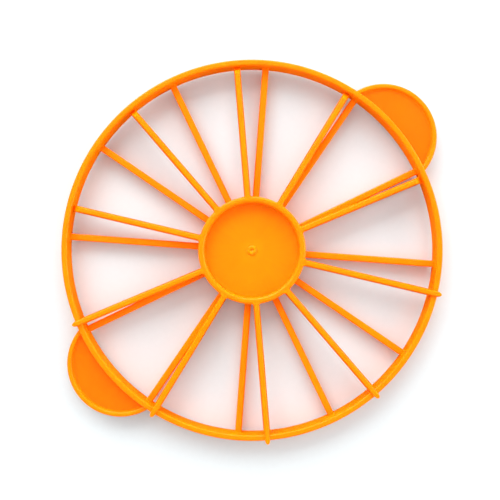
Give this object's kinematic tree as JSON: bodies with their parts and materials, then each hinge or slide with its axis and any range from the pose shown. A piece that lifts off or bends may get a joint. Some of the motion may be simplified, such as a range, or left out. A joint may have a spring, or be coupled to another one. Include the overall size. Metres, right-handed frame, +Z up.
{
  "type": "cake portion marker",
  "caption": "Round two-faced cake portion marker: a hub, radial wedge blades on both faces, a thin ring and a lobe handle on either side.",
  "frame": {"origin": "on the hub's axis, in the plane of the lower blades' edges that the divider stands on", "axes": "+X along the two handles, +Z up out of the face with fewer blades, +Y across the handles"},
  "size_m": [0.323, 0.272, 0.018],
  "materials": {
    "orange_plastic": "satin"
  },
  "bodies": {
    "root": {"cake_divider": "orange_plastic"}
  },
  "joints": []
}
